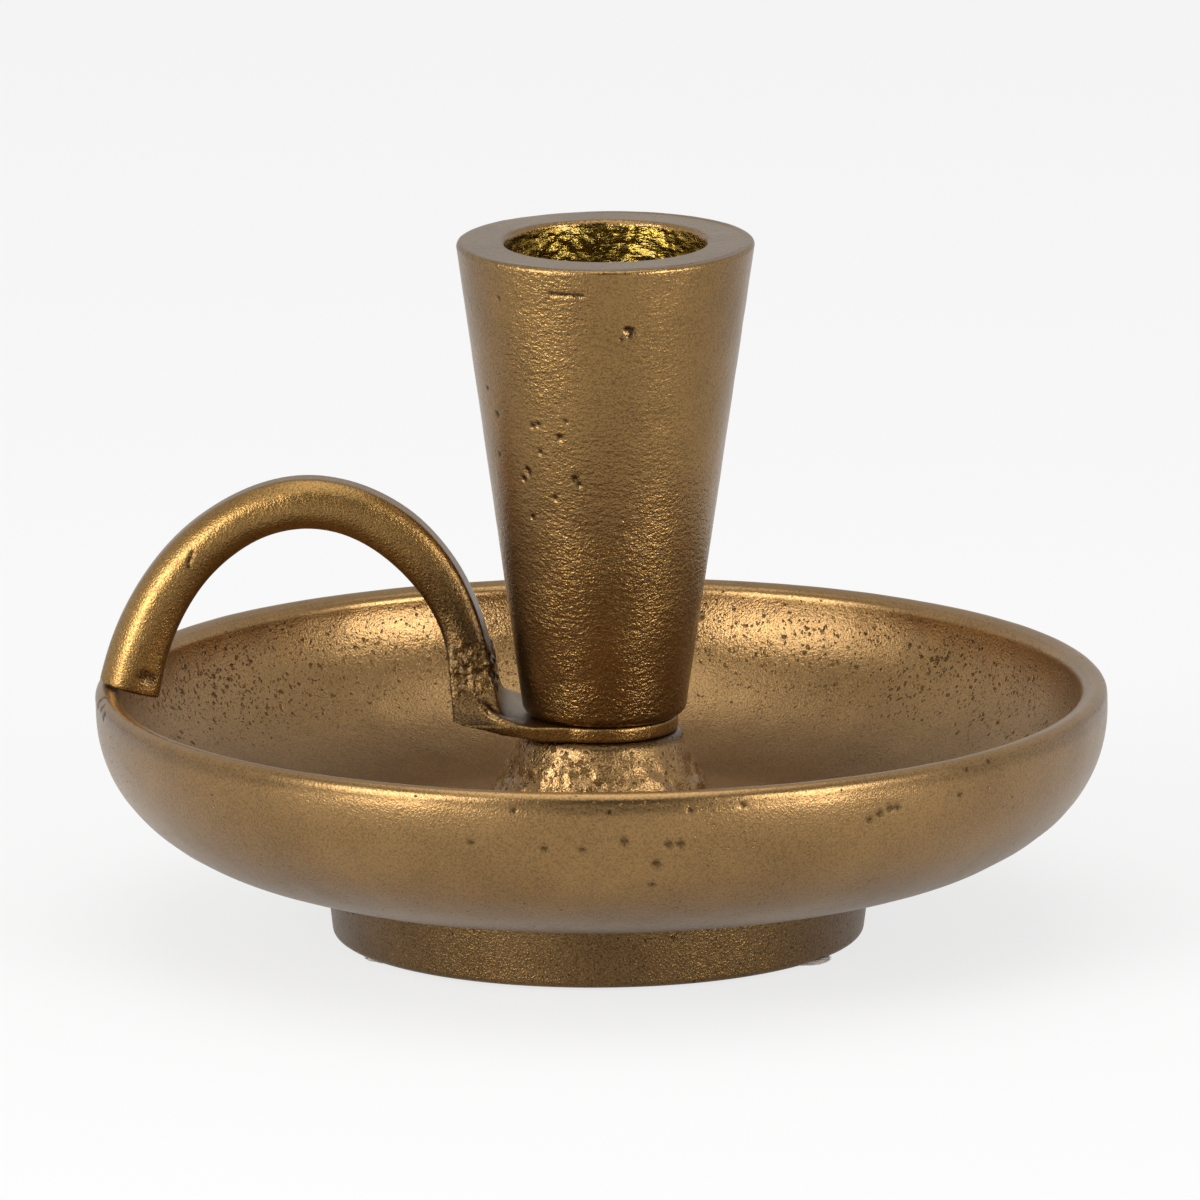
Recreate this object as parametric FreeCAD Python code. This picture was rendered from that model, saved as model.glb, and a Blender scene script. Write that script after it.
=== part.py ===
import FreeCAD, Part
import math
import os

from FreeCAD import Placement, Rotation, Vector

# Chamberstick with finger loop, in millimetres, +Z up, origin on the table under its axis.
# A cast drip pan carries a hollow boss. The eye of a cast handle lies on the boss, a tapered
# candle cup stands on the eye, and one screw from below draws all three together.
# The handle's arch runs to -X, where its free end lies just above the rim.

# Felt pads under the foot
pad_count = 3
pad_diameter = 6.5
pad_thickness = 0.4
pad_inset = 0.2
first_pad_angle = 90.0

# Drip pan: foot ring
foot_bottom_diameter = 60.4
foot_top_diameter = 62.4
foot_height = 8.1
foot_wall = 6.0
foot_edge_rounding = 0.7
recess_draft = 0.5

# Drip pan: bowl, heights counted from the foot's underside
bowl_diameter = 115.2
rim_height = 28.5
rim_width = 2.9
rim_rounding = 1.2
rim_tilt = 20.0
belly_drop = 2.3
belly_fullness_share = 0.84
underside_land = 0.9
floor_thickness = 3.4
floor_diameter = 66.0
floor_fullness_share = 0.71

# Drip pan: hollow boss, its height counted from the floor
boss_height = 12.0
boss_top_diameter = 18.2
boss_base_diameter = 27.6
boss_flare = 11.6
boss_edge_rounding = 0.6
web_thickness = 4.0
cavity_flare = 4.0
cavity_clearance = 1.0

# Clamp screw and washers
screw_diameter = 6.0
screw_length = 16.0
screw_tip_chamfer = 0.8
head_diameter = 10.5
head_height = 3.3
head_edge = 0.9
head_face_diameter = 6.0
socket_width = 4.0
socket_depth = 2.1
hole_clearance = 0.3
thread_clearance = 0.05
flat_washer_diameter = 12.0
flat_washer_thickness = 1.6
flat_washer_clearance = 0.2
spring_washer_diameter = 11.8
spring_washer_thickness = 1.6
spring_washer_clearance = 0.05
spring_slit = 0.9
spring_slit_angle = 25.0

# Candle cup
cup_height = 54.5
cup_top_diameter = 34.0
cup_bottom_diameter = 18.4
cup_base_rounding = 1.4
cup_lip_rounding = 0.5
bore_diameter = 23.0
bore_depth = 21.0
bore_mouth_rounding = 0.6
bore_bottom_rounding = 2.0
tapped_hole_runout = 2.0
drill_point_angle = 118.0

# Handle: eye and strap
eye_diameter = 17.5
strap_width = 16.4
strap_thickness = 1.8
strap_seat_reach = 6.5
strap_fillet = 3.3
strap_underside_bend = 14.0
leg_root_thickness = 5.5
leg_root_lift = 0.3
leg_flare_share = 0.5

# Handle: arch
loop_rise = 23.0
loop_thickness = 5.65
loop_width = 5.7
tip_inset = 3.9
tip_gap = 0.3
tip_lean = 15.0

# Sections of the arch from its free end to its leg. x runs from -1 over the rim to 1 over the
# leg, z from 0 on the line between those ends to 1 at the top. Thickness and both roundings
# are shares of loop_thickness, width is a share of loop_width.
# x, z, thickness, width, outer rounding, inner rounding
arch_sections_share = (
    (-1.000, 0.000, 1.257, 1.33, 0.460, 0.110),
    (-0.947, 0.185, 1.212, 1.28, 0.460, 0.110),
    (-0.825, 0.444, 1.124, 1.21, 0.440, 0.120),
    (-0.606, 0.711, 1.044, 1.12, 0.390, 0.140),
    (-0.330, 0.902, 1.000, 1.05, 0.340, 0.180),
    (0.005, 1.000, 1.000, 1.00, 0.280, 0.180),
    (0.345, 0.960, 1.000, 0.95, 0.210, 0.140),
    (0.637, 0.799, 0.973, 0.93, 0.140, 0.110),
    (0.817, 0.597, 0.890, 0.95, 0.090, 0.090),
    (0.916, 0.394, 0.840, 1.12, 0.070, 0.070),
    (0.954, 0.245, 0.870, 1.45, 0.055, 0.055),
)

# How far cutting solids run past the faces they cut
overrun = 1.0

# Places worked out from the sizes above
foot_z = pad_thickness
underside_z = foot_z + foot_height
floor_z = underside_z + floor_thickness
rim_z = foot_z + rim_height
belly_z = rim_z - belly_drop
bowl_radius = bowl_diameter / 2
rim_inner_radius = bowl_radius - rim_width
boss_top_z = floor_z + boss_height
web_z = boss_top_z - web_thickness
hole_radius = screw_diameter / 2 + hole_clearance
strap_top_z = boss_top_z + strap_thickness
cup_top_z = strap_top_z + cup_height
cup_flat_radius = cup_bottom_diameter / 2 - cup_base_rounding
head_z = web_z - flat_washer_thickness - spring_washer_thickness
screw_tip_z = head_z + screw_length

Z_AXIS = Vector(0, 0, 1)
CIRCLE_SHARE = math.cos(math.pi / 4)


def at(x, z):
    """Point of the XZ plane."""
    return Vector(x, 0, z)


def direction(start, end):
    """Unit vector from one point to another."""
    return (end - start).normalize()


def corner_arc(before, corner, after, rounding):
    """Points of the arc that rounds a corner: its start, middle and end."""
    arriving = direction(before, corner)
    leaving = direction(corner, after)
    half_turn = arriving.getAngle(leaving) / 2
    inward = (leaving - arriving).normalize()
    centre = corner + inward * (rounding / math.cos(half_turn))
    reach = rounding * math.tan(half_turn)
    return corner - arriving * reach, centre - inward * rounding, corner + leaving * reach


def bend(fullness_share):
    """Marks a point as the corner of a conic curve, fuller towards it as the share grows.

    CIRCLE_SHARE gives the quarter of a circle or ellipse.
    """
    return ("bend", fullness_share)


def is_bend(rounding):
    return isinstance(rounding, tuple)


def conic(start, corner, end, fullness_share):
    """Conic curve that leaves start and reaches end along the corner's two legs."""
    curve = Part.BezierCurve()
    curve.setPoles([start, corner, end])
    curve.setWeight(2, fullness_share)
    return curve.toShape()


def outline(points):
    """Closed outline in the XZ plane through points (x, z, rounding).

    A rounding of 0 keeps the corner sharp. A bend in its place makes the point the corner of
    a conic curve that runs from the point before it to the point after it.
    """
    places = [at(x, z) for x, z, _ in points]
    edges = []
    starts = []
    ends = []
    for index, (_, _, rounding) in enumerate(points):
        corner = places[index]
        if is_bend(rounding) or rounding == 0:
            starts.append(corner)
            ends.append(corner)
            continue
        after = places[(index + 1) % len(places)]
        start, middle, end = corner_arc(places[index - 1], corner, after, rounding)
        edges.append(Part.Arc(start, middle, end).toShape())
        starts.append(start)
        ends.append(end)
    for index, (_, _, rounding) in enumerate(points):
        following = (index + 1) % len(points)
        if is_bend(rounding):
            start, end = ends[index - 1], starts[following]
            edges.append(conic(start, places[index], end, rounding[1]))
        elif not is_bend(points[following][2]):
            edges.append(Part.LineSegment(ends[index], starts[following]).toShape())
    return Part.Wire(Part.__sortEdges__(edges))


def turned(points):
    """Solid of revolution about the object's axis."""
    return Part.Face(outline(points)).revolve(Vector(0, 0, 0), Z_AXIS, 360)


def slab(points, width):
    """Outline in the XZ plane made as thick as width, half to each side."""
    face = Part.Face(outline(points))
    face.translate(Vector(0, -width / 2, 0))
    return face.extrude(Vector(0, width, 0))


def drip_pan():
    """Dish, foot ring and hollow boss in one casting, with the screw's hole through its web."""
    foot_bottom_radius = foot_bottom_diameter / 2
    foot_top_radius = foot_top_diameter / 2
    recess_radius = foot_bottom_radius - foot_wall
    cavity_radius = flat_washer_diameter / 2 + cavity_clearance
    tilt = math.radians(rim_tilt)
    rim_corner_z = rim_z - rim_rounding * (1 - (1 + math.sin(tilt)) / math.cos(tilt))
    rim_inner_z = rim_corner_z - rim_width * math.tan(tilt)
    underside_radius = foot_top_radius + underside_land
    return turned([
        (hole_radius, web_z, 0),
        (hole_radius, boss_top_z, 0),
        (boss_top_diameter / 2, boss_top_z, boss_edge_rounding),
        (boss_base_diameter / 2, floor_z, boss_flare),
        (floor_diameter / 2, floor_z, 0),
        (rim_inner_radius, floor_z, bend(floor_fullness_share)),
        (rim_inner_radius, rim_inner_z, 0),
        (bowl_radius, rim_corner_z, rim_rounding),
        (bowl_radius, belly_z, 0),
        (bowl_radius, underside_z, bend(belly_fullness_share)),
        (underside_radius, underside_z, 0),
        (foot_top_radius, underside_z, 0),
        (foot_bottom_radius, foot_z, foot_edge_rounding),
        (recess_radius, foot_z, 0),
        (recess_radius - recess_draft, underside_z, 0),
        (cavity_radius + cavity_flare, underside_z, 0),
        (cavity_radius, web_z, 0),
    ])


def candle_cup():
    """Tapered cup with a blind bore for the candle and a tapped hole in its solid bottom."""
    top_radius = cup_top_diameter / 2
    bore_radius = bore_diameter / 2
    tapped_radius = screw_diameter / 2 + thread_clearance
    tapped_z = screw_tip_z + tapped_hole_runout
    point_z = tapped_z + tapped_radius / math.tan(math.radians(drill_point_angle) / 2)
    return turned([
        (0, point_z, 0),
        (tapped_radius, tapped_z, 0),
        (tapped_radius, strap_top_z, 0),
        (cup_bottom_diameter / 2, strap_top_z, cup_base_rounding),
        (top_radius, cup_top_z, cup_lip_rounding),
        (bore_radius, cup_top_z, bore_mouth_rounding),
        (bore_radius, cup_top_z - bore_depth, bore_bottom_rounding),
        (0, cup_top_z - bore_depth, 0),
    ])


def arch_places():
    """Centre points of the arch's sections, from its free end over the rim to its leg."""
    leg_x = -(cup_flat_radius + strap_fillet + leg_root_thickness / 2)
    tip_x = tip_inset - bowl_radius
    tip_reach = tip_inset - rim_rounding
    tip_z = rim_z + tip_gap - tip_reach * math.tan(math.radians(tip_lean))
    middle_x = (leg_x + tip_x) / 2
    half_span = (leg_x - tip_x) / 2
    middle_z = (strap_top_z + tip_z) / 2
    half_slope = (strap_top_z - tip_z) / 2
    return [
        at(middle_x + half_span * x, middle_z + half_slope * x + loop_rise * z)
        for x, z, *_ in arch_sections_share
    ]


def bar_section(centre, outward, thickness, width, outer_rounding, inner_rounding):
    """Rounded rectangle across the bar, thickness along outward and width along Y."""
    side = Vector(0, 1, 0)
    corners = []
    for along, across in ((1, 1), (1, -1), (-1, -1), (-1, 1)):
        place = centre + outward * (along * thickness / 2) + side * (across * width / 2)
        corners.append((place, outer_rounding if along > 0 else inner_rounding))
    arcs = []
    for index, (corner, rounding) in enumerate(corners):
        after = corners[(index + 1) % len(corners)][0]
        arcs.append(corner_arc(corners[index - 1][0], corner, after, rounding))
    edges = []
    for index, (start, middle, end) in enumerate(arcs):
        following = arcs[(index + 1) % len(arcs)][0]
        edges.append(Part.Arc(start, middle, end).toShape())
        edges.append(Part.LineSegment(end, following).toShape())
    return Part.Wire(edges)


def arch():
    """Arched bar, lofted through its sections.

    Its free end is cut square to the lean with which it comes down on the rim, and its last
    section lies level on the foot of the leg.
    """
    places = arch_places()
    spine = Part.BSplineCurve()
    spine.interpolate(places)
    wires = []
    for index, (_, _, thickness, width, outer, inner) in enumerate(arch_sections_share):
        heading = spine.tangent(spine.parameter(places[index]))[0]
        outward = Vector(-heading.z, 0, heading.x)
        if index == 0:
            lean = math.radians(tip_lean)
            outward = Vector(-math.cos(lean), 0, math.sin(lean))
        elif index == len(places) - 1:
            outward = Vector(1, 0, 0)
        wires.append(bar_section(
            places[index],
            outward,
            thickness * loop_thickness,
            width * loop_width,
            outer * loop_thickness,
            inner * loop_thickness,
        ))
    return Part.makeLoft(wires, True, False)


def strap():
    """Flat eye and strap with the flared foot of the leg, cut from three crossing outlines."""
    joint = arch_places()[-1]
    _, _, thickness_share, width_share, _, _ = arch_sections_share[-1]
    joint_half = thickness_share * loop_thickness / 2
    joint_half_width = width_share * loop_width / 2
    eye_radius = eye_diameter / 2
    leg_face_x = -(cup_flat_radius + strap_fillet)
    leg_back_x = leg_face_x - leg_root_thickness
    side = slab([
        (eye_radius, boss_top_z, 0),
        (eye_radius, strap_top_z, 0),
        (leg_face_x, strap_top_z, strap_fillet),
        (joint.x + joint_half, joint.z, 0),
        (joint.x - joint_half, joint.z, 0),
        (leg_back_x, strap_top_z + leg_root_lift, 0),
        (-strap_seat_reach, boss_top_z, strap_underside_bend),
    ], eye_diameter)
    height = joint.z - boss_top_z
    length = overrun - joint.x + joint_half
    corner = Vector(-length, -strap_width / 2, boss_top_z)
    eye = Part.makeCylinder(eye_radius, height, at(0, boss_top_z))
    plan = eye.fuse(Part.makeBox(length, strap_width, height, corner))
    front = Part.Face(outline([
        (-eye_radius, boss_top_z, 0),
        (eye_radius, boss_top_z, 0),
        (eye_radius, strap_top_z, 0),
        (joint_half_width, strap_top_z, bend(leg_flare_share)),
        (joint_half_width, joint.z, 0),
        (-joint_half_width, joint.z, 0),
        (-joint_half_width, strap_top_z, bend(leg_flare_share)),
        (-eye_radius, strap_top_z, 0),
    ]))
    front.rotate(Vector(0, 0, 0), Z_AXIS, 90)
    front.translate(Vector(eye_radius, 0, 0))
    front = front.extrude(Vector(-length - eye_radius, 0, 0))
    return side.common(plan).common(front)


def handle():
    """Arched handle with its eye, one casting, with the screw's hole through the eye."""
    hole = Part.makeCylinder(hole_radius, eye_diameter, at(0, boss_top_z - overrun))
    return arch().fuse(strap()).cut(hole).removeSplitter()


def clamp_screw():
    """Button-head screw with a hexagon socket, head down, its thread's crests as a cylinder."""
    shank_radius = screw_diameter / 2
    head_bottom_z = head_z - head_height
    body = turned([
        (0, head_bottom_z, 0),
        (head_face_diameter / 2, head_bottom_z, 0),
        (head_diameter / 2, head_bottom_z, bend(CIRCLE_SHARE)),
        (head_diameter / 2, head_z - head_edge, 0),
        (head_diameter / 2, head_z, 0),
        (shank_radius, head_z, 0),
        (shank_radius, screw_tip_z - screw_tip_chamfer, 0),
        (shank_radius - screw_tip_chamfer, screw_tip_z, 0),
        (0, screw_tip_z, 0),
    ])
    socket_radius = socket_width / 2 / math.cos(math.pi / 6)
    corners = [
        Vector(
            socket_radius * math.cos(math.pi / 3 * step),
            socket_radius * math.sin(math.pi / 3 * step),
            head_bottom_z - overrun,
        )
        for step in range(7)
    ]
    socket = Part.Face(Part.makePolygon(corners)).extrude(Z_AXIS * (overrun + socket_depth))
    return body.cut(socket)


def ring(outer_radius, inner_radius, bottom_z, thickness):
    """Flat ring about the object's axis."""
    outer = Part.makeCylinder(outer_radius, thickness, at(0, bottom_z))
    inner = Part.makeCylinder(inner_radius, thickness + overrun, at(0, bottom_z))
    return outer.cut(inner)


def flat_washer():
    """Washer that lies against the web inside the boss."""
    inner_radius = screw_diameter / 2 + flat_washer_clearance
    bottom_z = web_z - flat_washer_thickness
    return ring(flat_washer_diameter / 2, inner_radius, bottom_z, flat_washer_thickness)


def spring_washer():
    """Split washer between the screw's head and the flat washer, pressed flat."""
    outer_radius = spring_washer_diameter / 2
    inner_radius = screw_diameter / 2 + spring_washer_clearance
    body = ring(outer_radius, inner_radius, head_z, spring_washer_thickness)
    slit_height = outer_radius
    slit = Part.makeBox(
        outer_radius,
        spring_slit,
        slit_height,
        Vector(0, -spring_slit / 2, -slit_height / 2),
    )
    slit.Placement = Placement(
        at(0, head_z + spring_washer_thickness / 2),
        Rotation(Vector(1, 0, 0), spring_slit_angle),
    )
    return body.cut(slit)


def felt_pads():
    """Felt dots under the foot ring, by name, each just inside the foot's edge."""
    circle_radius = (foot_bottom_diameter - pad_diameter) / 2 - pad_inset
    pads = {}
    for number in range(pad_count):
        angle = math.radians(first_pad_angle + 360 / pad_count * number)
        centre = Vector(circle_radius * math.cos(angle), circle_radius * math.sin(angle), 0)
        pad = Part.makeCylinder(pad_diameter / 2, pad_thickness, centre)
        pads[f"felt_pad_{number + 1}"] = pad
    return pads


pieces = {
    "drip_pan": drip_pan(),
    "handle": handle(),
    "candle_cup": candle_cup(),
    "clamp_screw": clamp_screw(),
    "flat_washer": flat_washer(),
    "spring_washer": spring_washer(),
    **felt_pads(),
}

os.makedirs("parts", exist_ok=True)
for name, shape in pieces.items():
    shape.exportStep(f"parts/{name}.step")
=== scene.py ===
import math

import bmesh
import bpy
import numpy as np
from mathutils import Matrix, Vector


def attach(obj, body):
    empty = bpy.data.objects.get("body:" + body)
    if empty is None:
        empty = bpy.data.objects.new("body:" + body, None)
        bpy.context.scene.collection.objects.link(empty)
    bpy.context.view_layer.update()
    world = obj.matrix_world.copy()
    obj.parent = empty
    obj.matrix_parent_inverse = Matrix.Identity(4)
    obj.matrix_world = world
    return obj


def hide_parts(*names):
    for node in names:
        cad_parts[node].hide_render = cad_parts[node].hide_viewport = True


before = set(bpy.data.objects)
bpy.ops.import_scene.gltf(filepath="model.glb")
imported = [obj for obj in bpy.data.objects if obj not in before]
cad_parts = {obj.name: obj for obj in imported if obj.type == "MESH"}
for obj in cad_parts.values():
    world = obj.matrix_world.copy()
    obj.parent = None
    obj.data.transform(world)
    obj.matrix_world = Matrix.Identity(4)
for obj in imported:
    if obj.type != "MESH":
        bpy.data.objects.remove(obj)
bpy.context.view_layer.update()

# Drip pan: dish, foot ring and flared boss in one sand casting of antiqued, lacquered brass.
# The mould leaves it a little uneven. It is ground smooth outside, and the pores stay open
# inside the dish, on the boss and on the foot.


def smooth_field(points, size_mm, seed):
    """Soft random field from -1 to 1 over points in mm, its lumps about size_mm across."""
    seed_step = 17.31
    grid = points / size_mm + seed * seed_step
    cell = np.floor(grid).astype(np.int64)
    share = grid - cell
    share = share * share * share * (share * (share * 6 - 15) + 10)
    total = np.zeros(len(points))
    for corner in range(8):
        step = np.array([corner & 1, corner >> 1 & 1, corner >> 2 & 1])
        at = cell + step
        # A hash of the cell's three whole numbers gives its value.
        mixed = (at[:, 0] * 73856093) ^ (at[:, 1] * 19349663) ^ (at[:, 2] * 83492791)
        mixed = (mixed ^ (mixed >> 13)) * 1274126177 & 0x7FFFFFFF
        value = (mixed % 100003) / 50001.5 - 1
        total += value * np.prod(np.where(step == 1, share, 1 - share), axis=1)
    return total


def ramp(values, start, end):
    """Smooth step from 0 at start to 1 at end."""
    share = np.clip((values - start) / (end - start), 0, 1)
    return share * share * (3 - 2 * share)


def near(points, place, radius):
    """Soft spot of 1 about a place in mm that fades out at its radius."""
    return np.exp(-((np.linalg.norm(points - np.array(place), axis=1) / radius) ** 4))


def pressed(points, normals, marks):
    """Surface with marks pressed in, of place, radius and depth in mm, and their painted shade."""
    shade = np.zeros(len(points))
    for x, y, z, radius, depth in marks:
        place = points[np.argmin(((points - (x, y, z)) ** 2).sum(axis=1))]
        spot = near(points, place, radius)
        points = points - normals * (depth * spot)[:, None]
        shade = np.maximum(shade, spot * (depth > 0))
    return points, shade


def mesh_piece(name, points, faces, masks):
    """Smooth-shaded object from points in mm, each mask stored as an attribute by point."""
    mesh = bpy.data.meshes.new(name)
    mesh.from_pydata((points * 0.001).tolist(), [], faces)
    for mask, values in masks.items():
        mesh.attributes.new(mask, "FLOAT", "POINT").data.foreach_set("value", values)
    mesh.shade_smooth()
    piece = bpy.data.objects.new(name, mesh)
    bpy.context.scene.collection.objects.link(piece)
    return piece


def rounded_corner(before, corner, after, rounding, steps):
    """Points of a round corner in the profile's plane."""
    arriving = (corner - before) / np.linalg.norm(corner - before)
    leaving = (after - corner) / np.linalg.norm(after - corner)
    half = math.acos(np.clip(arriving @ leaving, -1, 1)) / 2
    reach = rounding * math.tan(half)
    inward = (leaving - arriving) / np.linalg.norm(leaving - arriving)
    centre = corner + inward * rounding / math.cos(half)
    start = corner - arriving * reach - centre
    end = corner + leaving * reach - centre
    turns = [2 * half * step / steps for step in range(steps + 1)]
    spread = math.sin(2 * half)
    return [
        centre + (math.sin(2 * half - turn) * start + math.sin(turn) * end) / spread
        for turn in turns
    ]


def profile(corners):
    """Points along an outline of (radius, z, rounding, spacing from there on), in mm.

    A rounding in a tuple is the fullness of a conic bend round that corner.
    """
    bend_steps, corner_steps = 61, 6
    places = [np.array(corner[:2], float) for corner in corners]
    path = []
    for index, (_, _, rounding, spacing) in enumerate(corners):
        before, after = places[index - 1], places[(index + 1) % len(places)]
        if isinstance(rounding, tuple):
            for t in np.linspace(0, 1, bend_steps + 1)[1:-1]:
                shares = np.array([(1 - t) ** 2, 2 * t * (1 - t) * rounding[0], t * t])
                place = shares @ np.array([before, places[index], after]) / shares.sum()
                path.append((place, spacing))
        elif rounding:
            arc = rounded_corner(before, places[index], after, rounding, corner_steps)
            path.extend((place, spacing) for place in arc)
        else:
            path.append((places[index], spacing))
    made = []
    for index, (start, spacing) in enumerate(path):
        end = path[(index + 1) % len(path)][0]
        steps = max(1, round(np.linalg.norm(end - start) / spacing))
        made.extend(start + (end - start) * step / steps for step in range(steps))
    return np.array(made)


def turned(outline, turns):
    """Points, outward normals and faces of a clockwise outline turned about the axis."""
    angles = np.arange(turns)[:, None] * 2 * math.pi / turns
    along = np.roll(outline, -1, axis=0) - np.roll(outline, 1, axis=0)
    along /= np.linalg.norm(along, axis=1)[:, None]
    swept = []
    for flat in (outline, np.stack([-along[:, 1], along[:, 0]], axis=1)):
        spread = np.broadcast_to(flat[:, 1], (turns, len(flat)))
        swept.append(np.stack(
            [np.cos(angles) * flat[:, 0], np.sin(angles) * flat[:, 0], spread], axis=2,
        ).reshape(-1, 3))
    rows = len(outline)
    here = np.arange(turns)[:, None] * rows
    there = np.roll(here, -1, axis=0)
    row, below = np.arange(rows), np.roll(np.arange(rows), -1)
    faces = np.stack([here + row, here + below, there + below, there + row], axis=2)
    return swept[0], swept[1], faces.reshape(-1, 4).tolist()


def linear(hex_colour):
    """Linear colour with alpha of an sRGB hex value."""
    shares = [int(hex_colour[i:i + 2], 16) / 255 for i in (1, 3, 5)]
    return (*(c / 12.92 if c <= 0.04045 else ((c + 0.055) / 1.055) ** 2.4 for c in shares), 1)


def node(tree, kind, settings, links):
    """Adds a shader node with its settings and links, by socket name or number."""
    made = tree.nodes.new(kind)
    for key, value in settings.items():
        if isinstance(key, str) and hasattr(made, key):
            setattr(made, key, value)
        else:
            made.inputs[key].default_value = value
    for key, source in links.items():
        tree.links.new(source, made.inputs[key])
    return made


def material(name):
    """New material, its empty node tree and its object coordinates in mm."""
    made = bpy.data.materials.new(name)
    made.use_nodes = True
    tree = made.node_tree
    tree.nodes.clear()
    place = node(tree, "ShaderNodeTexCoord", {}, {}).outputs["Object"]
    scaled = node(
        tree, "ShaderNodeVectorMath", {"operation": "SCALE", "Scale": 1000.0}, {0: place},
    )
    return made, tree, scaled.outputs[0]


def cast_brass(name, metal, patina, roughness, grain_mm, peel_mm, peel_size):
    """Antiqued brass with the mould's grain and peel, open pores, and patches of patina.

    Reads the attributes porous and coarse, and a third of painted shade: pores open, grain
    deepens, and the painted shade darkens the colour.
    The sand's grain of 0.1 mm would be too fine to show, so it is drawn 0.24 mm across.
    """
    grain_size, ragged_size, patina_size = 0.24, 0.7, 13.0
    pore_cells_and_depths = ((0.82, 0.08), (0.46, 0.05))
    lacquer, lacquer_roughness = 0.22, 0.34
    made, tree, place = material(name)
    porous, coarse, painted_shade = (
        node(tree, "ShaderNodeAttribute", {"attribute_name": mask}, {}).outputs["Fac"]
        for mask in ("porous", "coarse", "painted_shade")
    )
    fine = node(
        tree, "ShaderNodeTexNoise", {"Scale": 1 / grain_size, "Detail": 2.0}, {"Vector": place},
    )
    # Height in mm: grain and peel, both deeper where the casting is coarse, less the pores.
    across, up = peel_size
    squeezed = node(
        tree, "ShaderNodeMapping", {"Scale": (1 / across, 1 / across, 1 / up)}, {"Vector": place},
    )
    peel = node(
        tree, "ShaderNodeTexNoise", {"Scale": 1.0, "Detail": 2.0, "Roughness": 0.6},
        {"Vector": squeezed.outputs[0]},
    )
    depth = node(
        tree, "ShaderNodeMath", {"operation": "MULTIPLY_ADD", 1: 8 * grain_mm, 2: grain_mm},
        {0: coarse},
    )
    height = node(
        tree, "ShaderNodeMath", {"operation": "MULTIPLY"},
        {0: fine.outputs["Fac"], 1: depth.outputs[0]},
    )
    ripple = node(
        tree, "ShaderNodeMath", {"operation": "MULTIPLY_ADD", 1: 2 * peel_mm, 2: 0.5 * peel_mm},
        {0: coarse},
    )
    height = node(
        tree, "ShaderNodeMath", {"operation": "MULTIPLY_ADD"},
        {0: peel.outputs["Fac"], 1: ripple.outputs[0], 2: height.outputs[0]},
    )
    ragged = node(
        tree, "ShaderNodeTexNoise", {"Scale": 1 / ragged_size, "Detail": 2.0}, {"Vector": place},
    )
    bent = node(
        tree, "ShaderNodeVectorMath", {"operation": "MULTIPLY_ADD", 1: (0.9, 0.9, 0.9)},
        {0: ragged.outputs["Color"], 2: place},
    )
    holes = None
    for cell_mm, hole_mm in pore_cells_and_depths:
        cells = node(
            tree, "ShaderNodeTexVoronoi", {"Scale": 1 / cell_mm}, {"Vector": bent.outputs[0]},
        )
        width = node(
            tree, "ShaderNodeMath", {"operation": "MULTIPLY"},
            {0: cells.outputs["Color"], 1: porous},
        )
        edge = node(
            tree, "ShaderNodeMath", {"operation": "MULTIPLY_ADD", 1: -0.55},
            {0: width.outputs[0], 2: cells.outputs["Distance"]},
        )
        hole = node(
            tree, "ShaderNodeMapRange",
            {"interpolation_type": "SMOOTHSTEP", 1: -0.20, 2: 0.0, 3: 1.0, 4: 0.0},
            {0: edge.outputs[0]},
        )
        height = node(
            tree, "ShaderNodeMath", {"operation": "MULTIPLY_ADD", 1: -hole_mm},
            {0: hole.outputs[0], 2: height.outputs[0]},
        )
        if holes:
            hole = node(
                tree, "ShaderNodeMath", {"operation": "MAXIMUM"},
                {0: hole.outputs[0], 1: holes.outputs[0]},
            )
        holes = hole
    # Patina in clouds and specks and in the pores, and painted shade in the patina's colour.
    clouds = node(
        tree, "ShaderNodeTexNoise",
        {"Scale": 1 / patina_size, "Detail": 5.0, "Roughness": 0.62}, {"Vector": place},
    )
    shade = node(
        tree, "ShaderNodeMapRange", {1: 0.3, 2: 0.7, 3: 0.0, 4: 0.28}, {0: clouds.outputs["Fac"]},
    )
    speckle = node(
        tree, "ShaderNodeMapRange", {1: 0.42, 2: 0.75, 3: 0.0, 4: 0.5}, {0: fine.outputs["Fac"]},
    )
    shade = node(
        tree, "ShaderNodeMath", {"operation": "ADD"}, {0: shade.outputs[0], 1: speckle.outputs[0]},
    )
    shade = node(
        tree, "ShaderNodeMath", {"operation": "MULTIPLY_ADD", 1: 0.5, "use_clamp": True},
        {0: holes.outputs[0], 2: shade.outputs[0]},
    )
    shade = node(
        tree, "ShaderNodeMath", {"operation": "ADD", "use_clamp": True},
        {0: shade.outputs[0], 1: painted_shade},
    )
    colour = node(
        tree, "ShaderNodeMix", {"data_type": "RGBA", 6: linear(metal), 7: linear(patina)},
        {0: shade.outputs[0]},
    )
    # Pores are duller than the skin and have no lacquer.
    rough = node(
        tree, "ShaderNodeMath", {"operation": "MULTIPLY_ADD", 1: 0.12, 2: roughness - 0.03},
        {0: clouds.outputs["Fac"]},
    )
    rough = node(
        tree, "ShaderNodeMath", {"operation": "MULTIPLY_ADD", 1: 0.25},
        {0: holes.outputs[0], 2: rough.outputs[0]},
    )
    coat = node(
        tree, "ShaderNodeMath", {"operation": "MULTIPLY_ADD", 1: -lacquer, 2: lacquer},
        {0: holes.outputs[0]},
    )
    bump = node(
        tree, "ShaderNodeBump", {"Strength": 1.0, "Distance": 0.001},
        {"Height": height.outputs[0]},
    )
    shader = node(
        tree, "ShaderNodeBsdfPrincipled",
        {"Metallic": 1.0, "Coat Roughness": lacquer_roughness},
        {"Base Color": colour.outputs[2], "Roughness": rough.outputs[0],
         "Coat Weight": coat.outputs[0], "Normal": bump.outputs[0]},
    )
    node(tree, "ShaderNodeOutputMaterial", {}, {"Surface": shader.outputs[0]})
    return made


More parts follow.
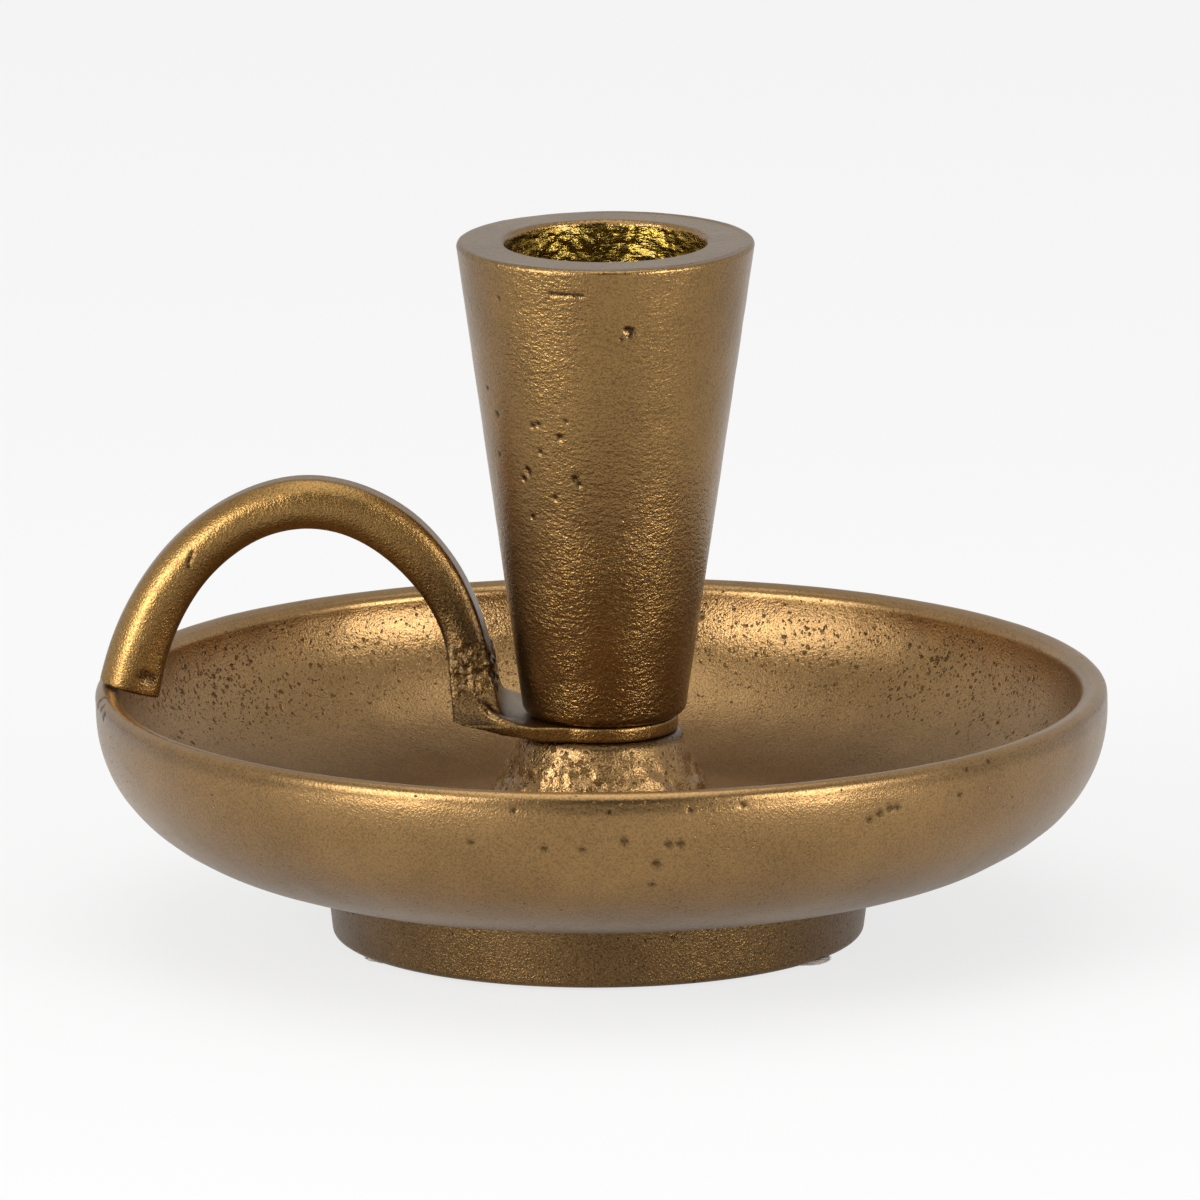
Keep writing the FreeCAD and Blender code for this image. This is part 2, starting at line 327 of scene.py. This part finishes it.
# In turn: the boss with its bore, the dish, the rim, the belly, the foot and the cored hollow.
outline = profile([
    (3.3, 19.9, 0, 1.2), (3.3, 23.9, 0, 0.6), (9.1, 23.9, 0.9, 0.3), (13.8, 11.9, 11.6, 0.35),
    (33.0, 11.9, 0, 0.4), (53.7, 11.9, (0.68,), 0.35), (54.6, 27.2, 0, 0.35),
    (54.6, 28.5, 1.2, 0.2), (57.6, 29.5, 1.15, 0.2), (57.6, 26.6, 0, 0.35),
    (57.6, 8.5, (0.825,), 0.35), (32.1, 8.5, 0, 0.4), (31.2, 8.5, 0.2, 0.3),
    (30.2, 0.4, 0.7, 0.8), (24.2, 0.4, 0.4, 1.2), (23.7, 8.5, 1.0, 1.2), (15.0, 8.5, 0, 1.2),
    (11.0, 8.5, 0.5, 1.2), (7.0, 19.9, 0, 1.2),
])
points, normals, faces = turned(outline, turns=1080)
radius = np.hypot(points[:, 0], points[:, 1])
bearing = np.arctan2(points[:, 0], -points[:, 1])
z = points[:, 2]
above_floor = z > 11.5
inside = above_floor & ((normals[:, 2] > 0.02) | (radius < 54.9))
on_boss = above_floor & (radius < 16)
on_foot = (radius > 28) & (radius < 32.5) & (z < 8.7)
# The mould's unevenness fades at the seat under the handle's eye, the rim and the felt pads.
free = np.where(on_boss, 1 - ramp(z, 19, 23.2), 1.0) * ramp(z, 0.5, 3.0)
free *= 1 - 0.65 * ramp(z, 26.5, 28.2)
free[(radius < 24.3) & (z < 20.2) & ~inside] = 0
free[radius < 9.3] = 0
free[(z < 8.7) & (radius > 23.0) & (radius < 33.0)] *= 0.25
wobble = 0.20 * smooth_field(points, 34.0, 1) + 0.07 * smooth_field(points, 11.0, 2)
wobble += np.where(inside, 0.045, 0.012) * smooth_field(points, 3.2, 3)
wobble += on_boss * (0.16 * smooth_field(points, 3.0, 4) + 0.24 * smooth_field(points, 1.2, 6))
points = points + normals * (wobble * free)[:, None]
# The foot was ground a little off the dish's axis.
foot_shift = 0.45
points[:, 0] -= foot_shift * (1 - ramp(z, 8.5, 9.6)) * ramp(radius, 22.0, 24.0) * (
    1 - ramp(radius, 32.0, 37.0))
# The marks that the real casting has, as x, y, z, radius and depth in mm.
belly_pits = [
    (8.39, -56.01, 21.05, 0.55, 0.30), (8.48, -56.0, 20.1, 0.5, -0.10),
    (9.86, -56.35, 23.09, 0.5, 0.30), (11.20, -56.10, 23.04, 0.5, 0.28),
    (4.85, -57.11, 23.52, 0.55, 0.28), (0.17, -57.11, 22.58, 0.4, 0.2),
    (-3.83, -57.0, 22.66, 0.4, 0.2), (-12.38, -55.90, 23.30, 0.4, 0.2),
    (7.89, -54.71, 18.24, 0.4, 0.2),
]
belly_scrape = [
    (32.2, -47.6, 24.4, 0.45, 0.10), (33.2, -46.9, 24.7, 0.5, 0.14),
    (34.2, -46.2, 25.0, 0.5, 0.12), (35.2, -45.5, 25.3, 0.45, 0.10),
]
rim_dents = [
    (42.05, -39.26, 25.12, 0.4, 0.2), (-7.40, -57.11, 27.16, 0.3, 0.1),
    (3.29, -57.50, 27.16, 0.28, 0.1), (12.36, -56.24, 27.19, 0.28, 0.1),
    (18.22, -54.63, 27.24, 0.32, 0.1), (42.79, -38.50, 27.92, 0.3, 0.1),
    (45.07, -35.70, 28.17, 0.3, 0.1),
]
rim_nicks = [
    (-55.95, -8.23, 28.89, 0.35, 0.2), (-56.3, -8.5, 28.5, 0.35, 0.2),
    (-56.6, -8.8, 28.0, 0.35, 0.2), (-55.9, -11.5, 28.6, 0.3, 0.16),
    (-56.2, -11.6, 28.2, 0.3, 0.16), (-55.7, -14.0, 28.3, 0.35, 0.2),
    (-56.1, -13.2, 27.7, 0.35, 0.2),
]
points, mark_painted_shade = pressed(points, normals, belly_pits + belly_scrape + rim_dents + rim_nicks)
# Pores crowd in a band up the dish's wall, at the sides and the back.
cluster = ramp(smooth_field(points, 7.0, 5), -0.25, 0.6)
band_height, band_reach = 22.0, 5.0
band = np.exp(-(((z - band_height) / band_reach) ** 4)) * (0.7 + 0.3 * cluster)
back = ramp(np.abs(bearing), 1.0, 1.7)
porous = np.where(inside & ~on_boss, 0.5 + 0.6 * band * back, 0.24 + 0.35 * cluster)
porous = np.where(on_boss, 0.85 + 0.35 * cluster, porous)
porous = np.where(on_foot, 0.45 + 0.3 * cluster, porous)
coarse = np.where(on_foot, 0.6, np.where(inside, 0.35, 0.25))
coarse = np.where(on_boss, 0.4, coarse) * (1 - 0.85 * ramp(z, 26.5, 28.0))
# Painted shade on the foot under the belly, low on the dish and its belly, in the marks, on the
# boss's top under the handle's eye, and round the rim's outer edge over its highlight. The rim's
# top gets a negative value, which takes its patina clouds and specks away.
painted_shade = np.where(on_foot, 0.40, 0.14 * (1 - ramp(z, 12.0, 20.0)) * (radius > 30)) + 0.85 * mark_painted_shade
painted_shade += 0.7 * ramp(z, 22.9, 23.4) * (radius < 10)
painted_shade += 0.25 * ramp(z, 26.4, 27.6) * (radius > 55) - 0.5 * ramp(z, 28.3, 29.0) * (radius > 53)
pan = mesh_piece(
    "drip_pan_cast", points, faces, {"porous": porous, "coarse": coarse, "painted_shade": painted_shade},
)
# Ground and antiqued: broad soft highlights, brown clouds, and dark specks where pores are open.
pan.data.materials.append(cast_brass(
    "cast_brass_ground_and_antiqued", metal="#98774A", patina="#4A3519", roughness=0.28,
    grain_mm=0.016, peel_mm=0.030, peel_size=(0.9, 0.5),
))
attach(pan, "root")
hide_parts("drip_pan")

# Handle: arch, leg, strap and eye in one casting of the same brass, tumbled smooth.
# The CAD solid gets a web between leg and strap on both sides and is remeshed finely. Its sides
# are crowned, and the leg's root is left rough.
web_core = 1.0
# Sections of the web in mm: x, half width, underside, top at the edge and top at the leg.
web = [
    (-6.5, 8.1, 24.4, 25.5, 25.3), (-9.0, 8.1, 24.4, 26.0, 25.4),
    (-11.2, 7.6, 24.6, 26.8, 26.7), (-12.6, 6.8, 24.8, 27.5, 30.0),
    (-14.2, 5.2, 25.2, 28.3, 32.0), (-16.0, 3.0, 26.2, 29.4, 32.5),
    (-16.8, 2.4, 26.6, 29.6, 32.5),
]
solid = bmesh.new()
solid.from_mesh(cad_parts["handle"].data)
for side in (-1, 1):
    rings = [
        [solid.verts.new((x / 1000, side * y / 1000, z / 1000)) for y, z in (
            (edge, low), (edge, top), (web_core, inner), (web_core, low))]
        for x, edge, low, top, inner in web
    ]
    solid.faces.new(rings[0])
    solid.faces.new(rings[-1])
    for ring, other in zip(rings, rings[1:]):
        for i in range(4):
            solid.faces.new((ring[i], ring[i - 1], other[i - 1], other[i]))
bmesh.ops.recalc_face_normals(solid, faces=solid.faces)
rough_copy = bpy.data.objects.new("handle_copy", bpy.data.meshes.new("handle_copy"))
solid.to_mesh(rough_copy.data)
solid.free()
bpy.context.scene.collection.objects.link(rough_copy)
rough_copy.modifiers.new("weld", "WELD").merge_threshold = 1e-6
remesh = rough_copy.modifiers.new("remesh", "REMESH")
remesh.mode, remesh.voxel_size = "VOXEL", 0.0002
smooth = rough_copy.modifiers.new("smooth", "SMOOTH")
smooth.factor, smooth.iterations = 0.5, 11
even = bpy.data.meshes.new_from_object(
    rough_copy.evaluated_get(bpy.context.evaluated_depsgraph_get()))
bpy.data.objects.remove(rough_copy)
points, normals = np.empty(len(even.vertices) * 3), np.empty(len(even.vertices) * 3)
even.vertices.foreach_get("co", points)
even.vertices.foreach_get("normal", normals)
points, normals = points.reshape(-1, 3) * 1000, normals.reshape(-1, 3)
faces = [tuple(face.vertices) for face in even.polygons]
# The arch's centre line as x and z, drawn smooth, and how far across it each point lies.
spine = np.array([
    (-53.7, 28.48), (-52.64, 32.66), (-50.21, 38.44), (-45.85, 44.28), (-40.35, 48.29),
    (-33.68, 50.08), (-26.90, 48.69), (-21.08, 44.58), (-17.50, 39.68), (-15.52, 34.88),
    (-14.77, 31.40),
])
steps = np.linspace(0, len(spine) - 1, 401)
trail = np.stack([np.interp(steps, np.arange(len(spine)), spine[:, axis]) for axis in (0, 1)], 1)
reach = 15
kernel = np.ones(2 * reach + 1) / (2 * reach + 1)
padded = np.pad(trail, ((reach, reach), (0, 0)), mode="reflect", reflect_type="odd")
trail = np.stack([np.convolve(padded[:, axis], kernel, "valid") for axis in (0, 1)], 1)
heading = np.gradient(trail, axis=0)
heading /= np.linalg.norm(heading, axis=1)[:, None]
flat = points[:, [0, 2]]
closest = np.concatenate([
    np.argmin(((part[:, None] - trail[None]) ** 2).sum(axis=2), axis=1)
    for part in np.array_split(flat, 60)
])
offset = flat - trail[closest]
across = -offset[:, 0] * heading[closest, 1] + offset[:, 1] * heading[closest, 0]
on_arch = ramp(points[:, 2], 31.5, 34.5) + ramp(-points[:, 0], 44.0, 46.0)
on_arch = np.clip(on_arch, 0, 1)
half_thickness = 2.8 + 0.7 * ramp(-points[:, 0], 44.0, 54.0)
bulge = np.clip(across / half_thickness, -1, 1) ** 2
crown = np.where(across > 0, 0.24, 0.30)
points[:, 1] *= 1 + on_arch * (0.04 - crown * bulge)
# Rough lumps at the leg's root, strongest in the middle of its width.
root = ramp(points[:, 2], 25.4, 28.6) * (1 - ramp(points[:, 2], 32.0, 36.5))
root *= ramp(-points[:, 0], 10.6, 12.5) * (1 - ramp(-points[:, 0], 19.5, 22.0))
root *= 1 - 0.6 * ramp(abs(points[:, 1]), 3.5, 5.5)
loose = ramp(points[:, 2], 25.75, 27.5)
bumps = 0.10 * smooth_field(points, 14.0, 11) + 0.05 * smooth_field(points, 5.0, 12)
lumpy = ramp(smooth_field(points, 3.0, 16), -0.3, 0.3)
bumps += root * (0.05 + 0.32 * lumpy) * (
    0.7 * smooth_field(points, 0.95, 13) + 0.4 * smooth_field(points, 0.55, 14))
points = points + normals * (bumps * loose)[:, None]
arch_scratch = [
    (-46.30, -2.9, 44.6, 0.28, 0.12), (-46.45, -2.9, 44.1, 0.28, 0.12),
    (-46.60, -2.9, 43.6, 0.28, 0.12), (-46.75, -2.9, 43.1, 0.28, 0.12),
]
end_dents = [(-52.0, -3.2, 30.6, 0.8, 0.08), (-51.2, -3.2, 30.2, 0.7, 0.08)]
points, mark_painted_shade = pressed(points, normals, arch_scratch + end_dents)
porous = 0.12 + 0.5 * root + 0.15 * ramp(smooth_field(points, 7.0, 15), 0.0, 0.6)
# Painted shade on the leg and the arch's lower right, fading out towards the strap.
leg_painted_shade = (1 - ramp(points[:, 2], 34.0, 49.0)) * ramp(points[:, 0], -28.0, -18.0)
leg_painted_shade *= 1 - 0.8 * ramp(points[:, 0], -14.0, -8.0)
# The third attribute is painted shade, in the marks and on the leg.
handle = mesh_piece(
    "handle_cast", points, faces,
    {"porous": porous, "coarse": 0.3 + 0.3 * root, "painted_shade": 0.6 * mark_painted_shade + 0.62 * leg_painted_shade},
)
# Tumbled and antiqued: smooth soft highlights with a faint grain, almost no pores.
handle.data.materials.append(cast_brass(
    "cast_brass_tumbled_and_antiqued", metal="#97743F", patina="#35230B", roughness=0.30,
    grain_mm=0.020, peel_mm=0.040, peel_size=(1.0, 1.0),
))
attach(handle, "root")
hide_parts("handle")

# Candle cup: tapered casting, turned on the outside and on its flat ring, with satin patina.
# The bore below the mouth is left as it came from the core, crumpled and more yellow. Its
# colour is painted lighter, for the little light that reaches into it.
cup_bottom, cup_height, bore_bottom, mouth = 25.7, 54.5, 59.0, 79.9
# In turn: the bore, the flat ring, the tapered side, and the tapped hole in the bottom.
outline = profile([
    (0.0, 59.2, 0, 0.4), (11.5, 59.2, 2.0, 0.25), (11.5, 80.2, 0.6, 0.25),
    (17.0, 80.2, 0.5, 0.22), (9.2, 25.7, 1.4, 0.8), (3.05, 25.7, 0, 1.0),
    (3.05, 34.7, 0, 1.0), (0.0, 36.53, 0, 25.0),
])
points, normals, faces = turned(outline, turns=440)
radius = np.hypot(points[:, 0], points[:, 1])
z = points[:, 2]
in_bore = (radius < 12.2) & (z > bore_bottom)
outer = (radius > 9.0 + (z - cup_bottom) * 0.13) & (z > 25.9) & ~in_bore
flat_ring = (z > 79.95) & (radius > 12.0) & (radius < 16.6)
below_lip = ramp(-z, -80.0, -79.2)
wobble = outer * 0.10 * smooth_field(points, 22.0, 21)
wobble += outer * 0.02 * smooth_field(points, 2.2, 22)
wobble += flat_ring * 0.03 * smooth_field(points, 9.0, 23)
wobble *= np.where(outer, ramp(z, 26.2, 29.0), 1.0)
crumpled = points * np.array([1.0, 1.0, 2.0])
wobble += np.where(in_bore, below_lip, 0.0) * (
    0.10 * smooth_field(crumpled, 2.4, 24) + 0.14 * smooth_field(crumpled, 0.85, 25))
points = points + normals * wobble[:, None]
front_flaw = [
    (3.15, -15.6, 73.2, 0.4, 0.22), (3.6, -15.5, 72.9, 0.42, 0.20),
    (3.35, -15.5, 72.5, 0.3, 0.14), (2.55, -15.7, 72.1, 0.24, 0.12),
    (4.1, -15.3, 72.3, 0.6, -0.05),
]
side_pits = [
    (-8.25, -10.74, 55.7, 0.4, 0.18), (-8.7, -10.1, 54.7, 0.34, 0.16),
    (-2.93, -13.15, 55.5, 0.38, 0.16), (-2.5, -13.1, 54.8, 0.34, 0.14),
    (-7.7, -12.05, 61.3, 0.32, 0.14), (-7.09, -12.76, 61.46, 0.28, 0.14),
    (-4.57, -13.57, 60.26, 0.36, 0.18), (-6.90, -12.35, 58.25, 0.28, 0.14),
    (-3.86, -14.03, 62.09, 0.26, 0.12), (-5.23, -12.27, 53.03, 0.28, 0.12),
    (-7.93, -10.40, 50.30, 0.32, 0.14), (-11.65, -11.49, 75.87, 0.28, 0.12),
    (-8.48, -10.56, 56.12, 0.28, 0.12), (-11.89, -8.03, 61.71, 0.34, 0.14),
    (-13.04, -6.93, 64.61, 0.28, 0.12), (-11.59, -7.26, 57.02, 0.28, 0.12),
]
score_radius, score_height = 16.57, 77.2
score_line = [
    (x, -math.sqrt(score_radius**2 - x * x), score_height, 0.19, 0.09)
    for x in np.arange(-5.6, -1.8, 0.12)
]
points, mark_painted_shade = pressed(points, normals, front_flaw + side_pits + score_line)
cluster = ramp(smooth_field(points, 8.0, 26), 0.0, 0.6)
porous = np.where(outer, 0.10 + 0.25 * cluster, 0.15)
porous = np.where(in_bore, 0.75 * below_lip, porous)
# The turned side is left coarser towards the bottom and at the upper left.
upper_left = ramp(z, 62.0, 70.0) * (1 - ramp(points[:, 0], -6.0, 1.0))
coarse = np.where(outer, 0.15 + 0.25 * ramp(-z, -60.0, -45.0) + 0.35 * upper_left, 0.3)
coarse *= np.where(outer, 0.7 + 0.5 * ramp(smooth_field(points, 6.0, 27), -0.4, 0.4), 1.0)
coarse = np.where(flat_ring, 0.0, coarse)
# The screw holds the cup a little off the axis and not quite upright.
foot_shift, lean, rise = 0.38, 0.34, 0.3
points[:, 0] += ramp(radius, 3.2, 5.0) * (foot_shift + lean * (z - cup_bottom) / cup_height)
points[:, 2] += rise * ramp(z, 27.0, 80.0)
# Painted shade in the marks and low on the cup's turned side, just above the dish.
painted_shade = 0.8 * mark_painted_shade + np.where(outer, 0.16 * (1 - ramp(z, 30.0, 50.0)), 0.0)
cup = mesh_piece(
    "candle_cup_cast", points, faces, {"porous": porous, "coarse": coarse, "painted_shade": painted_shade},
)
joined = bmesh.new()
joined.from_mesh(cup.data)
bmesh.ops.remove_doubles(joined, verts=joined.verts, dist=1e-7)
joined.to_mesh(cup.data)
joined.free()
cup.data.shade_smooth()
# Turned and antiqued: a satin brown skin with two upright highlights that the peel breaks up.
cup.data.materials.append(cast_brass(
    "cast_brass_turned_and_antiqued", metal="#937242", patina="#3A2A14", roughness=0.255,
    grain_mm=0.020, peel_mm=0.10, peel_size=(0.85, 0.45),
))
# Bare in the bore: deep crumples that flash yellow between near-black hollows, in a colour
# painted lighter than the cup's outside for the little light in the bore.
cup.data.materials.append(cast_brass(
    "cast_brass_bare_and_painted_lighter_in_the_bore", metal="#A08436", patina="#2C220C", roughness=0.24,
    grain_mm=0.012, peel_mm=0.13, peel_size=(0.8, 0.28),
))
bore_centre, bore_radius = 0.6, 12.1
for face in cup.data.polygons:
    x, y, height = face.center * 1000
    face.material_index = int(
        math.hypot(x - bore_centre, y) < bore_radius and bore_bottom < height < mouth)
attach(cup, "root")
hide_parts("candle_cup")

# Clamp screw and its two washers: zinc-plated steel, seen only from below.
# The CAD solids keep their shape and get the plating's fine mottle and wipe marks.
steel, tree, place = material("zinc_plated_steel")
# Zinc plating looks pale grey and half shiny, a little cloudy, with faint lines from wiping.
mottle = node(
    tree, "ShaderNodeTexNoise", {"Scale": 1 / 0.8, "Detail": 4.0, "Roughness": 0.65},
    {"Vector": place},
)
stretched = node(tree, "ShaderNodeMapping", {"Scale": (6.0, 0.7, 6.0)}, {"Vector": place})
wiped = node(
    tree, "ShaderNodeTexNoise", {"Scale": 1.0, "Detail": 2.0}, {"Vector": stretched.outputs[0]},
)
plating = node(
    tree, "ShaderNodeMix", {"data_type": "RGBA", 6: linear("#B7B6B0"), 7: linear("#8D8A80")},
    {0: mottle.outputs["Fac"]},
)
rough = node(
    tree, "ShaderNodeMapRange", {1: 0.3, 2: 0.7, 3: 0.26, 4: 0.44}, {0: mottle.outputs["Fac"]},
)
bump = node(
    tree, "ShaderNodeBump", {"Strength": 0.5, "Distance": 0.00001},
    {"Height": wiped.outputs["Fac"]},
)
shader = node(
    tree, "ShaderNodeBsdfPrincipled", {"Metallic": 1.0},
    {"Base Color": plating.outputs[2], "Roughness": rough.outputs[0], "Normal": bump.outputs[0]},
)
node(tree, "ShaderNodeOutputMaterial", {}, {"Surface": shader.outputs[0]})
for name in ("clamp_screw", "flat_washer", "spring_washer"):
    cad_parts[name].data.materials.clear()
    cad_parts[name].data.materials.append(steel)

# Felt pads: three dots of pressed wool felt under the foot, their cut edge a little ragged.
# Each is a soft disc with loose fibres that stick out of its side.
felt, tree, place = material("pressed_wool_felt")
# Wool looks dull and pale, mottled fibre by fibre. Real fibres are 0.02 mm thick, too fine to
# show, so the mottle is 0.18 mm and the loose hairs are 0.04 mm thick.
fibres = node(
    tree, "ShaderNodeTexNoise", {"Scale": 1 / 0.18, "Detail": 6.0, "Roughness": 0.7,
                                 "Distortion": 1.5}, {"Vector": place},
)
wool = node(
    tree, "ShaderNodeMix", {"data_type": "RGBA", 6: linear("#8F877C"), 7: linear("#BDB6AB")},
    {0: fibres.outputs["Fac"]},
)
bump = node(
    tree, "ShaderNodeBump", {"Strength": 0.8, "Distance": 0.0001},
    {"Height": fibres.outputs["Fac"]},
)
shader = node(
    tree, "ShaderNodeBsdfPrincipled", {"Roughness": 0.95, "Sheen Weight": 0.4},
    {"Base Color": wool.outputs[2], "Normal": bump.outputs[0]},
)
node(tree, "ShaderNodeOutputMaterial", {}, {"Surface": shader.outputs[0]})
outline = profile([
    (0.0, 0.36, 0, 0.25), (3.2, 0.38, 0.12, 0.1), (3.2, 0.0, 0.12, 0.25), (0.0, 0.02, 0, 0.5),
])
pad_thickness, ring_radius, hair_root, hair_count = 0.4, 26.75, 3.1, 700
disc, disc_normals, disc_faces = turned(outline, turns=96)
ragged = smooth_field(disc, 0.5, 31) * ramp(np.hypot(disc[:, 0], disc[:, 1]), 2.8, 3.2)
disc = disc + disc_normals * (0.10 * ragged)[:, None]
disc[:, 2] = np.clip(disc[:, 2], 0.0, pad_thickness)
random = np.random.default_rng(7)
for number in range(3):
    turn = math.radians(90 + 120 * number)
    centre = np.array([ring_radius * math.cos(turn), ring_radius * math.sin(turn), 0.0])
    angles = random.uniform(0, 2 * math.pi, hair_count)
    start = np.stack([hair_root * np.cos(angles), hair_root * np.sin(angles),
                      random.uniform(0.08, 0.34, hair_count)], axis=1)
    lean = angles + random.uniform(-1.1, 1.1, hair_count)
    reach = random.uniform(0.15, 0.5, hair_count)[:, None]
    end = start + reach * np.stack([np.cos(lean), np.sin(lean),
                                    random.uniform(-0.25, 0.25, hair_count)], axis=1)
    end[:, 2] = np.clip(end[:, 2], 0.03, 0.37)
    thick = np.array([0.0, 0.0, 0.02])
    hairs = np.stack([start - thick, start + thick, end], axis=1).reshape(-1, 3)
    hair_faces = (np.arange(hair_count * 3).reshape(-1, 3) + len(disc)).tolist()
    everything = np.concatenate([disc, hairs]) + centre
    pad = mesh_piece(f"felt_dot_{number + 1}", everything, disc_faces + hair_faces, {})
    pad.data.materials.append(felt)
    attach(pad, "root")
    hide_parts(f"felt_pad_{number + 1}")

# Camera at the photograph's angle: 13 degrees above the table, far off with a long lens.
# It aims at the middle of the object's height and is rolled by a quarter of a degree.
azimuth, elevation, roll = math.radians(2.5), math.radians(13.0), math.radians(-0.27)
distance, aim_up, aim_left = 3.42, 0.03748, 0.00009
toward_camera = Vector((
    math.sin(azimuth) * math.cos(elevation),
    -math.cos(azimuth) * math.cos(elevation),
    math.sin(elevation),
))
foot = Vector((0, 0, 0.0004))
eye = foot + toward_camera * distance
right = toward_camera.cross(Vector((0, 0, -1))).normalized()
aim = foot - right.cross(toward_camera) * aim_up - right * aim_left
forward = (aim - eye).normalized()
right = forward.cross(Vector((0, 0, 1))).normalized()
turn = Matrix((right, right.cross(forward), -forward)).transposed()
turn = turn @ Matrix.Rotation(roll, 3, "Z")
camera = bpy.data.objects.new("camera", bpy.data.cameras.new("camera"))
camera.data.lens, camera.data.sensor_width, camera.data.clip_start = 900.0, 36.0, 0.5
camera.matrix_world = Matrix.Translation(eye) @ turn.to_4x4()
bpy.context.scene.collection.objects.link(camera)
bpy.context.scene.camera = camera

# Studio: pale paper floor, two tall softboxes at the sides, a weak one above and a pale room.
# The lamps are hidden from the camera, and the floor keeps the object's shadow.
half = 6
floor = bpy.data.objects.new("floor", bpy.data.meshes.new("floor"))
floor.data.from_pydata(
    [(-half, -half, 0), (half, -half, 0), (half, half, 0), (-half, half, 0)], [], [(0, 1, 2, 3)],
)
bpy.context.scene.collection.objects.link(floor)
# Matt pale paper: takes a soft shadow. The camera and the brass see it lighter than it is.
paper, tree, _ = material("pale_paper")
ray = node(tree, "ShaderNodeLightPath", {}, {}).outputs
glossy_share, glow_share = 0.45, 0.75
part = node(
    tree, "ShaderNodeMath", {"operation": "MULTIPLY", 1: glossy_share},
    {0: ray["Is Glossy Ray"]},
)
seen = node(
    tree, "ShaderNodeMath", {"operation": "ADD"},
    {0: ray["Is Camera Ray"], 1: part.outputs[0]},
)
seen = node(
    tree, "ShaderNodeMath", {"operation": "ADD", "use_clamp": True},
    {0: seen.outputs[0], 1: ray["Is Transmission Ray"]},
)
share = node(
    tree, "ShaderNodeMath", {"operation": "MULTIPLY", 1: glow_share}, {0: seen.outputs[0]},
)
lit = node(tree, "ShaderNodeBsdfDiffuse", {"Color": linear("#CDCDCD")}, {})
glow = node(tree, "ShaderNodeEmission", {"Color": linear("#FEFEFE")}, {})
both = node(
    tree, "ShaderNodeMixShader", {}, {0: share.outputs[0], 1: lit.outputs[0], 2: glow.outputs[0]},
)
node(tree, "ShaderNodeOutputMaterial", {}, {"Surface": both.outputs[0]})
floor.data.materials.append(paper)


def softbox(name, azimuth, height, distance, width, tall, level):
    """Area lamp that faces the object, azimuth counted from the camera's side."""
    lamp = bpy.data.objects.new(name, bpy.data.lights.new(name, "AREA"))
    lamp.data.shape, lamp.data.size, lamp.data.size_y = "RECTANGLE", width, tall
    lamp.data.energy = level * math.pi * width * tall
    lamp.visible_camera = False
    turn = math.radians(azimuth)
    lamp.location = (math.sin(turn) * distance, -math.cos(turn) * distance, height)
    facing = Vector((0, 0, 0.04)) - lamp.location
    lamp.rotation_euler = facing.to_track_quat("-Z", "Y").to_euler()
    bpy.context.scene.collection.objects.link(lamp)


softbox(
    "softbox_left", azimuth=-45, height=0.42, distance=1.3, width=0.75, tall=0.84, level=11.4,
)
softbox(
    "softbox_right", azimuth=51, height=0.31, distance=1.3, width=0.55, tall=0.62, level=12.8,
)
softbox(
    "softbox_above", azimuth=0, height=1.0, distance=0.25, width=0.8, tall=1.3, level=1.9,
)
# The room is dark behind the camera, and lighter beyond the object and at both sides.
world = bpy.data.worlds.new("studio")
world.use_nodes = True
tree = world.node_tree
tree.nodes.clear()
way = node(tree, "ShaderNodeTexCoord", {}, {}).outputs["Generated"]
parts = node(tree, "ShaderNodeSeparateXYZ", {}, {0: way}).outputs
level = node(
    tree, "ShaderNodeMapRange",
    {"interpolation_type": "SMOOTHSTEP", 1: -0.9, 2: 0.4, 3: 0.05, 4: 0.8}, {0: parts[1]},
)
sides = node(tree, "ShaderNodeMath", {"operation": "POWER", 1: 2.0}, {0: parts[0]})
level = node(
    tree, "ShaderNodeMath", {"operation": "MULTIPLY_ADD", 1: 0.6},
    {0: sides.outputs[0], 2: level.outputs[0]},
)
room = node(tree, "ShaderNodeBackground", {}, {"Strength": level.outputs[0]})
node(tree, "ShaderNodeOutputWorld", {}, {"Surface": room.outputs[0]})
bpy.context.scene.world = world
bpy.context.scene.view_settings.view_transform = "Standard"
